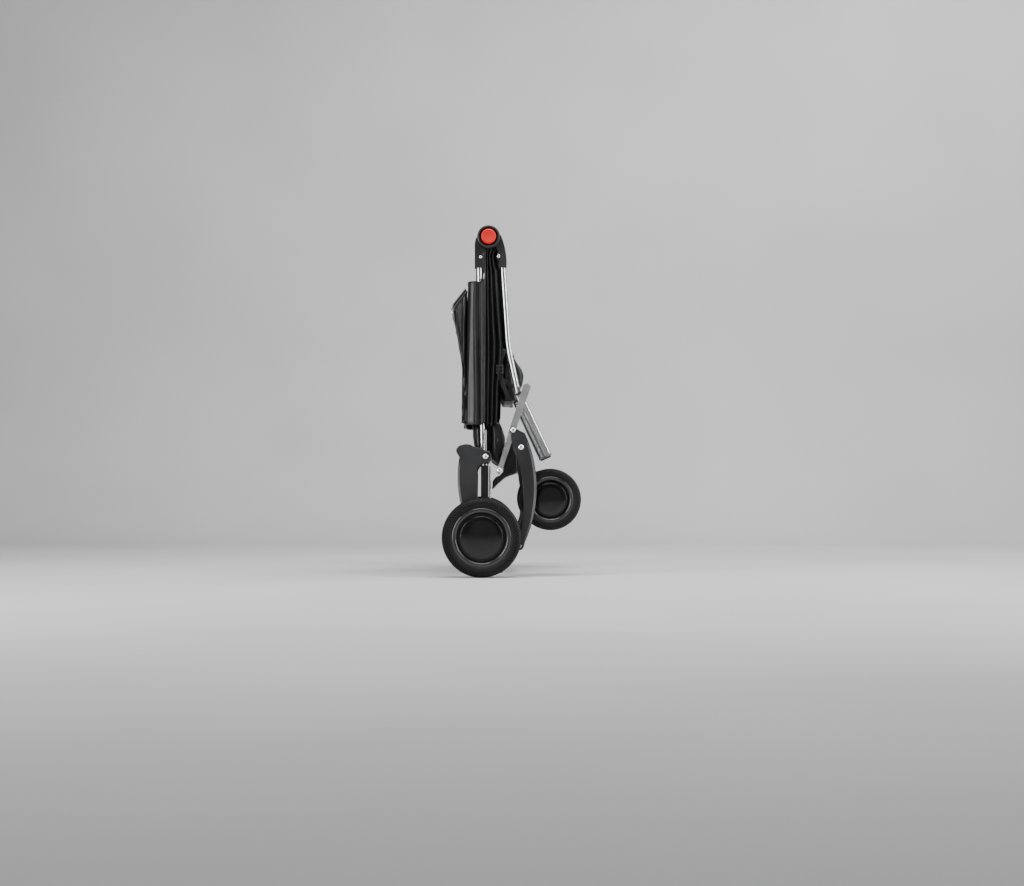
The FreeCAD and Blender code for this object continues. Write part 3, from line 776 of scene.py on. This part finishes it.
pack_low, pack_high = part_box("cabin_pack")
layers = zigzag(pack_low.x + 7 * MM, pack_high.x - 3 * MM, pack_high.z - 3 * MM, pack_low.z + 6 * MM, 7)
PACK_HALF = pack_high.y - 1 * MM
inner_layers = skin("cabin_inner_layers", carried_across(layers, PACK_HALF, 60, 0.7 * MM, 1.0), REAR,
                    "cabin_fabric")
declare_sheet(inner_layers, run_length(layers), 1.0 * MM)

# %% [markdown]
# ## Bundles of folded cloth
#
# The canopy, the lower panel, the floor, the straps' pad, the pouch and the basket are each a bundle: an
# outline in the XZ plane, carried across the stroller, rounded where it meets the sides, with ripples that
# grow away from its edges. `bundle` makes the closed surface. Its two ends are drawn in to a seam line and
# closed flat.

# %% Bundles


def inside(low, high, shares):
    """Shares of a box as (x, z) in metres."""
    return np.array([low.x, low.z]) + np.array(shares) * [high.x - low.x, high.z - low.z]


def bundle(name, node, outline_shares, body, roundness, wave, seed, fan, finish="cabin_fabric", passes=3,
           pitch=(0.085, 0.06), around=150, box=None):
    """The outline is in shares of the box of the node that the bundle stands for. Near each end it shrinks
    towards its middle by a quarter circle, so the ends are rounded. On the ends the cloth's fold edges show
    as ridges that fan out from a point: fan is (x, z, ridges in each radian, ridge depth), in millimetres."""
    low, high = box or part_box(node)
    corners = np.array(outline_shares + [outline_shares[0]], float)
    outline = polyline(corners, around + 1)[:-1]
    outline = softened(outline, passes, closed=True)
    outline = inside(low, high, outline)
    y = np.linspace(low.y, high.y, 72)
    from_end = np.minimum(y - low.y, high.y - y)
    curl = 1 - np.sqrt(np.clip(1 - (1 - np.clip(from_end / roundness, 0, 1)) ** 2, 0, 1))
    normal = np.stack([np.gradient(outline[:, 1]), -np.gradient(outline[:, 0])], 1)
    normal /= np.linalg.norm(normal, axis=1, keepdims=True) + 1e-9
    if ((outline - outline.mean(0)) * normal).sum() < 0:
        normal = -normal
    waves = ripple(outline[None, :, 1], y[:, None], wave, pitch[0], 1.0, seed)
    waves += ripple(y[:, None] * 0.8, outline[None, :, 1], wave * 0.5, pitch[1], 1.0, seed + 1)
    waves = waves * (1 - curl[:, None]) - wave
    drawn_in = -curl[:, None] * roundness * 0.8
    flat = outline[None] + normal[None] * (waves + drawn_in)[..., None]
    grid = np.stack([flat[..., 0], np.broadcast_to(y[:, None], flat.shape[:2]), flat[..., 1]], -1)
    fan_x, fan_z, ridges, depth = fan[0] * MM, fan[1] * MM, fan[2], fan[3] * MM
    step = np.linspace(0.97, 0.03, 18)[:, None]
    centre = flat[0].mean(0)
    cap_x = centre[0] + (flat[0, :, 0] - centre[0]) * step
    cap_z = centre[1] + (flat[0, :, 1] - centre[1]) * step
    angle = np.arctan2(cap_x - fan_x, cap_z - fan_z) + 0.004 * np.sin(cap_z / 0.03)
    ridge = (1 - np.abs(np.sin(ridges * angle + seed))) ** 0.8
    cap_y = low.y + depth * (1 - ridge * np.clip((1 - step) * 7, 0, 1) * (0.4 + 0.6 * np.clip(step * 3, 0, 1)))
    cap = np.stack([cap_x, cap_y, cap_z], -1)
    grid[0, :, 1] += 0.5 * depth
    grid[-1, :, 1] -= 0.5 * depth
    other_cap = cap * [1, -1, 1] + [0, low.y + high.y, 0]
    piece = skin(name, np.concatenate([cap[::-1], grid, other_cap]), body, finish, around=True)
    if node:
        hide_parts(node)
    return piece


CANOPY = [(0.90, 1.0), (0.45, 0.942), (0.0, 0.874), (0.04, 0.83), (0.136, 0.751), (0.53, 0.508), (0.72, 0.34),
          (0.80, 0.215), (0.80, 0.0), (0.84, 0.0), (0.90, 0.25), (0.93, 0.5), (0.99, 0.98)]
bundle("canopy_fold", "canopy_pack", CANOPY, REAR, 9 * MM, 1.3 * MM, 0.4, (-44, 372, 88, 4.5), passes=2,
       pitch=(0.15, 0.12), around=200)
LOWER = [(0.02, 1.0), (1.0, 1.0), (0.62, 0.02), (0.45, 0.03), (0.16, 0.16), (0.05, 0.55)]
bundle("lower_panel_fold", "lower_panel", LOWER, REAR, 6 * MM, 1.2 * MM, 1.4, (-4, 200, 50, 3))
print("canopy and lower panel made")

# %% [markdown]
# ## Canopy trim
#
# The canopy's upper edge has a pale piping, and its back edge has a zip: a tape, a row of small teeth
# and two pulls that hang outside the cloth.

# %% Canopy trim
low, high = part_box("canopy_pack")
top_corner, _, apex, _, below_apex = inside(low, high, CANOPY[:5])
TRIM_IN, ZIP_END, TEETH_PITCH = 2.2 * MM, 12 * MM, 3.2 * MM
edge = softened(polyline([top_corner, apex + [1.5 * MM, 1 * MM], below_apex + [1 * MM, 0]], 40), 3)
tape = edge[:26] + [3.5 * MM, -5.5 * MM]
for side, sign in SIDES.items():
    y_side = sign * (high.y - TRIM_IN)
    piping("canopy_piping_" + side, at_y(edge, y_side), 1.7 * MM, REAR, "pale_tape_and_highlight")
    piping("canopy_zip_tape_" + side, at_y(tape, y_side), 1.1 * MM, REAR, "pale_tape_and_highlight")
zip_y = np.linspace(-high.y + ZIP_END, high.y - ZIP_END, 160)
zip_x, zip_z = apex - [0.4 * MM, 6 * MM]
zip_wave = ripple(zip_y, zip_z, 0.3 * MM, 0.1, 1, 0.2)
zip_line = np.stack([zip_x + zip_wave, zip_y, zip_z + 0 * zip_y], 1)
piping("canopy_zip_edge", zip_line, 1.3 * MM, REAR, "pale_tape_and_highlight")
teeth_y = np.arange(-high.y + ZIP_END + 2 * MM, high.y - ZIP_END - 2 * MM, TEETH_PITCH)
square = [[-1, -1], [1, -1], [1, 1], [-1, 1]]
cube = np.array([[x, y, z] for z in (-1, 1) for x, y in square])
teeth = np.array([zip_x - 0.9 * MM, 0, zip_z - 3.5 * MM]) + teeth_y[:, None] * [0, 1, 0]
teeth_points = (teeth[:, None] + cube[None] * [0.8 * MM, 0.8 * MM, 1.6 * MM]).reshape(-1, 3)
cube_faces = np.array([[0, 3, 2, 1], [4, 5, 6, 7], [0, 1, 5, 4], [1, 2, 6, 5], [2, 3, 7, 6], [3, 0, 4, 7]])
teeth_faces = (np.arange(len(teeth))[:, None, None] * 8 + cube_faces[None]).reshape(-1, 4).tolist()
place("canopy_zip_teeth", teeth_points, teeth_faces, REAR, "pale_tape_and_highlight", smooth=False)
PULL_SECTION = oval(1.5 * MM, 2.6 * MM, 10, 0.7)
for side, sign in SIDES.items():
    for number, drop in enumerate((8 * MM, 26 * MM)):
        t = np.linspace(0, 1, 14)
        pull = apex + np.stack([1.6 * MM + drop * 0.13 - 2.0 * MM * np.sin(math.pi * t), -drop - 13 * MM * t], 1)
        skin(f"zip_pull_{side}_{number}", carried(at_y(pull, sign * (high.y - 10 * MM)), PULL_SECTION),
             REAR, "rivet_steel" if number == 0 else "webbing", around=True)
print("canopy trim: piping, zip with", len(teeth), "teeth, and", 2 * len(SIDES), "pulls")

# %% [markdown]
# ## The pleated sides
#
# Between the rear and the front tubes the cabin's side wall is folded into long pleats that fan down from
# the handle. One sheet per side: its columns cross the pleats and swing in and out as a sine, and its rows
# run down them.

# %% Pleated sides
rear_low, rear_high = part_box("gusset_rear")
front_low, front_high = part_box("gusset_front")
PLEATS, PLEAT_FACE, TOP_DEPTH, BOTTOM_DEPTH = 3.5, 205.5 * MM, 13 * MM, 34 * MM
z = np.linspace(rear_high.z + 22 * MM, front_low.z + 4 * MM, 170)[:, None]
down = height_share(z, front_low.z, rear_high.z)
rear_edge = np.interp(z, [0.40, 0.765, 0.785, 0.848, 0.856], [-3 * MM, -5 * MM, 7 * MM, 9 * MM, -4 * MM])
front_edge = np.interp(z, [0.404, 0.412, 0.500, 0.560, 0.604, 0.690, 0.804, 0.812, 0.846, 0.860],
                       [0.040, 0.049, 0.052, 0.062, 0.066, 0.058, 0.0495, 0.044, 0.038, 0.052])
u = np.linspace(0, 1, 220)[None, :]
pleat_x = rear_edge + (front_edge - rear_edge) * u + 1.6 * MM * np.sin(z / 0.09 + 5 * u) * np.sin(math.pi * u)
over_tube = soft_step(pleat_x, 13 * MM, 1.6 * MM)
across = np.clip((pleat_x - 12 * MM) / (front_edge - 12 * MM), 0, 1)
pleat_phase = PLEATS * across ** 0.85 + 0.13 * np.sin(z / 0.11) * np.sin(math.pi * across)
depth = (TOP_DEPTH + (BOTTOM_DEPTH - TOP_DEPTH) * (1 - down)) * (0.9 + 0.2 * np.sin(2.3 * math.pi * across + 0.9))
creased = np.abs((2 * pleat_phase) % 2 - 1)
swing = depth * (0.75 * creased + 0.25 * (0.5 + 0.5 * np.cos(2 * math.pi * pleat_phase)))
tuck = 13 * MM * np.clip((across - 0.84) / 0.14, 0, 1) ** 1.5
wave = 0.9 * MM * np.sin(z / 0.037 + 7 * u)
out_y = PLEAT_FACE - swing * (1 - over_tube) - over_tube * 1.1 * MM - tuck + wave
bottom_curve = 16 * MM * np.sin(math.pi * u) ** 2 * (1 - down) ** 6
TOP_WIDTH = 0.05
FOLD_LIMIT = math.radians(max(joints["frame_fold"]["range_deg"]))
OPEN_WIDTH = TOP_WIDTH + 2 * (HANDLE[1] - float(z.min())) * math.sin(FOLD_LIMIT / 2)
for side, sign in SIDES.items():
    grid = np.stack([pleat_x, sign * out_y, z + 0 * u - bottom_curve], -1)
    pleats = skin("pleated_side_" + side, grid, None, "cabin_fabric")
    declare_sheet(pleats, OPEN_WIDTH, 0.9 * MM)
    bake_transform(pleats)
print("pleated sides, cut to", round(OPEN_WIDTH, 3), "m at the bottom and", TOP_WIDTH, "m at the top")

# %% [markdown]
# ## The front and rear walls, and the floor bellows
#
# The front wall is a sheet stretched between the front tubes. The rear wall's lining hangs just in front of
# the rear tubes. A small bellows closes the floor between them.

# %% Walls and floor


def wall(name, x_of_z, z_top, z_bottom, half_width, belly, body, replaced, seed):
    """A sheet across the stroller whose x follows the tubes down, with a belly in its middle."""
    z = np.linspace(z_top, z_bottom, 110)[:, None]
    y = np.linspace(-half_width, half_width, 90)[None, :]
    fade = 1 - (y / half_width) ** 6
    x = x_of_z(z) + belly * (1 - (y / half_width) ** 2) + ripple(z, y, 0.8 * MM, 0.12, 1, seed) * fade
    grid = np.stack([x, y + 0 * z, z + 0 * y], -1)
    piece = skin(name, grid, body, "cabin_fabric")
    declare_sheet(piece, 2 * half_width, 1.2 * MM)
    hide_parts(replaced)
    piping(name + "_top_hem", grid[0, ::3], 1.6 * MM, body)
    piping(name + "_bottom_hem", grid[-1, ::3], 1.6 * MM, body)


def front_line(z):
    """The front tubes' x at a height."""
    return np.interp(z, [0.405, 0.500, 0.560, 0.604, 0.690, 0.806, 0.848],
                     [0.046, 0.050, 0.058, 0.064, 0.057, 0.046, 0.036])


WALL_HALF = PACK_HALF - 10 * MM
FRONT_BELLY = -3 * MM
wall("front_wall", front_line, front_high.z - 2 * MM, front_low.z + 3 * MM, WALL_HALF, FRONT_BELLY, FRONT,
     "gusset_front", 3.0)
FRONT_SEAM_Y = 150 * MM
seam_z = np.linspace(front_high.z - 6 * MM, front_low.z + 8 * MM, 90)
seam_x = front_line(seam_z) + FRONT_BELLY * (1 - (FRONT_SEAM_Y / WALL_HALF) ** 2) + 1.2 * MM
for side, sign in SIDES.items():
    seam = at_y(np.stack([seam_x, seam_z], 1), sign * FRONT_SEAM_Y)
    piping("front_wall_seam_" + side, seam, 1.3 * MM, FRONT)
wall("rear_lining", lambda z: 14.0 * MM + 0 * z, rear_high.z - 2 * MM, rear_low.z + 6 * MM, WALL_HALF, 1 * MM,
     REAR, "gusset_rear", 4.0)
hanging = [(13, 407), (15, 362), (18, 407), (20, 358), (22, 407), (25, 360), (27, 407)]
bellows_profile = softened(polyline(hanging, 200), 8) * MM
bellows = skin("floor_bellows", carried_across(bellows_profile, PACK_HALF, 50, 0.4 * MM, 5.0), None, "cabin_fabric")
declare_sheet(bellows, OPEN_WIDTH, 1.0 * MM)
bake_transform(bellows)
print("walls and floor bellows made")

# %% [markdown]
# ## Pads, pouch and basket
#
# The pouch in front of the tubes, the folded floor pad and the bunch behind the straps are padded, so they
# are blown up a little by a cloth simulation with pressure: remeshed evenly, run for twenty frames, and
# held to a small cap so that they stay in their places. The basket is a bundle with an arched hem.

# %% Padded pieces
VOXEL, LAST_FRAME = 4 * MM, 20


def puffed(piece, cap):
    """Cloth with pressure and no gravity for twenty frames, capped, then applied and subdivided once."""
    bpy.context.view_layer.objects.active = piece
    remesh = piece.modifiers.new("even", "REMESH")
    remesh.mode = "VOXEL"
    remesh.voxel_size = VOXEL
    remesh.use_smooth_shade = True
    with bpy.context.temp_override(object=piece, active_object=piece, selected_objects=[piece]):
        bpy.ops.object.modifier_apply(modifier=remesh.name)
    start = np.zeros(len(piece.data.vertices) * 3)
    piece.data.vertices.foreach_get("co", start)
    start = start.reshape(-1, 3)
    soft = piece.modifiers.new("cloth", "CLOTH")
    soft.settings.use_pressure = True
    soft.settings.uniform_pressure_force = 4.0
    soft.settings.mass = 0.3
    soft.settings.tension_stiffness = 15
    soft.settings.bending_stiffness = 0.5
    soft.settings.effector_weights.gravity = 0.0
    for number in range(1, LAST_FRAME + 1):
        SCENE.frame_set(number)
    graph = bpy.context.evaluated_depsgraph_get()
    shaped = piece.evaluated_get(graph).to_mesh()
    moved = np.zeros(len(shaped.vertices) * 3)
    shaped.vertices.foreach_get("co", moved)
    step = moved.reshape(-1, 3) - start
    size = np.linalg.norm(step, axis=1, keepdims=True)
    step *= np.minimum(1, cap / np.maximum(size, 1e-9))
    piece.modifiers.remove(soft)
    SCENE.frame_set(1)
    piece.data.vertices.foreach_set("co", (start + step).ravel())
    piece.data.update()
    smoother = piece.modifiers.new("finer", "SUBSURF")
    smoother.levels = smoother.render_levels = 1
    shade_smooth(piece.data)


POUCH = [(0.0, 1.0), (0.10, 0.88), (0.42, 0.71), (0.80, 0.56), (1.0, 0.40), (0.86, 0.06), (0.62, 0.03),
         (0.05, 0.70)]
pouch = bundle("front_pouch_pad", "front_pouch", POUCH, FRONT, 14 * MM, 1.2 * MM, 2.2, (80, 400, 14, 2),
               pitch=(0.17, 0.09))
puffed(pouch, 3 * MM)
FLOOR = [(0.02, 1.0), (0.60, 1.0), (1.0, 0.62), (0.70, 0.02), (0.45, 0.0), (0.02, 0.1)]
floor_pad = bundle("floor_pad", "floor_pack", FLOOR, FRONT, 8 * MM, 2.2 * MM, 3.3, (45, 250, 34, 4))
puffed(floor_pad, 2 * MM)
REAR_FOLD = [(0.0, 1.0), (1.0, 1.0), (1.0, 0.35), (0.75, 0.0), (0.3, 0.0), (0.0, 0.2)]
rear_fold_box = Vector((12.5 * MM, -PACK_HALF, 0.303)), Vector((26 * MM, PACK_HALF, 0.405))
bundle("floor_rear_fold", None, REAR_FOLD, REAR, 4 * MM, 1.0 * MM, 2.6, (18, 200, 90, 3), box=rear_fold_box)
STRAPS = [(0.26, 0.97), (0.46, 0.98), (0.59, 0.80), (1.0, 0.31), (0.92, 0.02), (0.08, 0.02), (0.02, 0.30),
          (0.24, 0.42)]
bunch = bundle("strap_bunch", "strap_pack", STRAPS, FRONT, 12 * MM, 2.4 * MM, 0.9, (62, 350, 30, 5), "webbing",
               passes=14)
puffed(bunch, 2 * MM)
BASKET = [(0.0, 0.0), (0.23, 0.115), (0.50, 0.24), (0.78, 0.30), (1.0, 0.336), (0.985, 0.73), (0.79, 1.0),
          (0.49, 0.60), (0.455, 0.32), (0.15, 0.28), (0.0, 0.18)]
bundle("basket_fold", "basket_pack", BASKET, FRONT, 5 * MM, 1.0 * MM, 1.9, (20, 150, 16, 2), passes=2,
       pitch=(0.19, 0.11))
low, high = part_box("basket_pack")
arch = softened(polyline(inside(low, high, BASKET[:5]), 40), 4) + [0.0, 2.0 * MM]
# The basket hem's pale piping paints the highlight that runs along the hem's edge.
for side, sign in SIDES.items():
    piping("basket_hem_highlight_" + side, at_y(arch, sign * (high.y - 1.5 * MM)), 1.5 * MM, FRONT, "pale_tape_and_highlight")
print("pads, pouch and basket made")

# %% [markdown]
# ## Straps and adjusters
#
# Flat webbing: a thin squarish section carried along a given path, with its flat side facing out. A
# ladder adjuster, three bars in a small frame, sits on the longest one.

# %% Straps
BAND = oval(5.2 * MM, 0.9 * MM, 14, 0.35)
BAR, RAIL = oval(1.7 * MM, 1.6 * MM, 10, 0.5), oval(1.6 * MM, 1.6 * MM, 10, 0.6)
WEBBING_RUNS = {  # distance from the middle plane, then (x, z) points, in millimetres
    "strap_long_": (199, [(60, 596), (50, 566), (47, 540), (52, 512), (62, 488), (70, 470)]),
    "strap_short_": (190, [(72, 566), (66, 536), (70, 505), (80, 478), (84, 461)]),
    "strap_cross_": (191, [(52, 520), (64, 508), (78, 500), (88, 498)])}
ADJUSTER_X, ADJUSTER_Y, BAR_TILT = 48 * MM, 201.5 * MM, 0.1
BAR_HEIGHTS, RAIL_XS, RAIL_ENDS = (552, 543, 534), (40.5, 55.5), (0.531, 0.555)
t = np.linspace(-8 * MM, 8 * MM, 12)
bar_run = np.stack([ADJUSTER_X + t * math.cos(BAR_TILT), t * math.sin(BAR_TILT)], 1)
for side, sign in SIDES.items():
    for name, (y, points) in WEBBING_RUNS.items():
        path = at_y(softened(polyline(points, 60), 6) * MM, sign * y * MM)
        path[:, 1] += sign * 0.8 * MM * np.sin(np.linspace(0, 9, 60))
        skin(name + side, carried(path, BAND), FRONT, "webbing", around=True)
    for number, height in enumerate(BAR_HEIGHTS):
        bar = at_y(bar_run + [0, height * MM], sign * ADJUSTER_Y)
        skin(f"adjuster_bar_{side}_{number}", carried(bar, BAR), FRONT, "satin_black", around=True)
    for number, x in enumerate(RAIL_XS):
        rail = at_y(polyline([(x * MM, end) for end in RAIL_ENDS], 12), sign * ADJUSTER_Y)
        skin(f"adjuster_rail_{side}_{number}", carried(rail, RAIL), FRONT, "satin_black", around=True)
print("straps and adjusters made")

# %% [markdown]
# ## Studio
#
# A pale floor that curves up into a pale wall, a tall soft light on each side, one above, a faint card in
# front and one light for the wall. The wall and the floor are one sheet. The side lights are what the
# polished tubes reflect as white streaks.

# %% Studio
SWEEP_HALF, SWEEP_FRONT, SWEEP_BACK, SWEEP_TOP, SWEEP_R = 14.0, -14.0, 2.1, 7.0, 0.9
bend = np.linspace(0, math.pi / 2, 24)
sweep_profile = np.concatenate([
    [[SWEEP_FRONT, 0.0]],
    np.stack([SWEEP_BACK + SWEEP_R * np.sin(bend), SWEEP_R * (1 - np.cos(bend))], 1),
    [[SWEEP_BACK + SWEEP_R, SWEEP_TOP]]])
sweep_x = np.linspace(-SWEEP_HALF, SWEEP_HALF, 3)[None, :]
sweep_grid = np.stack([
    sweep_x + 0 * sweep_profile[:, :1], sweep_profile[:, :1] + 0 * sweep_x, sweep_profile[:, 1:] + 0 * sweep_x], -1)
paper = Finish("backdrop_paper", specular=0.2)
paper.colour(paper.blend_colours(paper.noise(1.3, 2.0), (0.50, 0.50, 0.505), (0.54, 0.54, 0.545)))
paper.roughness(paper.span(paper.noise(30.0), 0.7, 0.8))
sweep_mesh = bpy.data.meshes.new("studio_sweep")
sweep_faces = [[3 * r + c, 3 * r + c + 1, 3 * r + c + 4, 3 * r + c + 3]
               for r in range(len(sweep_profile) - 1) for c in (0, 1)]
sweep_mesh.from_pydata(sweep_grid.reshape(-1, 3).tolist(), [], sweep_faces)
shade_smooth(sweep_mesh)
sweep_mesh.materials.append(paper.material)
sweep = bpy.data.objects.new("studio_sweep", sweep_mesh)
SCENE.collection.objects.link(sweep)


def soft_light(name, location, target, size, power):
    """A rectangular light that faces its target."""
    data = bpy.data.lights.new(name, "AREA")
    data.shape = "RECTANGLE"
    data.size, data.size_y = size
    data.energy = power
    light = bpy.data.objects.new(name, data)
    light.location = location
    light.rotation_euler = (Vector(target) - Vector(location)).to_track_quat("-Z", "Y").to_euler()
    SCENE.collection.objects.link(light)


STROLLER, WALL = (0.05, 0.0, 0.45), (1.6, 3.0, 0.9)
soft_light("light_left", (-2.5, -1.8, 1.1), STROLLER, (0.8, 2.4), 100)
soft_light("light_right", (2.6, -1.5, 1.3), STROLLER, (0.6, 2.4), 70)
soft_light("light_top", (0.2, -0.9, 3.2), STROLLER, (2.6, 2.0), 150)
soft_light("card_front", (0.35, -4.9, 1.05), STROLLER, (2.4, 1.5), 4)
soft_light("light_backdrop", (2.4, 0.9, 3.2), WALL, (3.0, 0.8), 85)
world = bpy.data.worlds.new("studio_air")
world.use_nodes = True
air = world.node_tree.nodes["Background"]
air.inputs["Color"].default_value = (0.86, 0.88, 0.9, 1)
air.inputs["Strength"].default_value = 0.08
SCENE.world = world
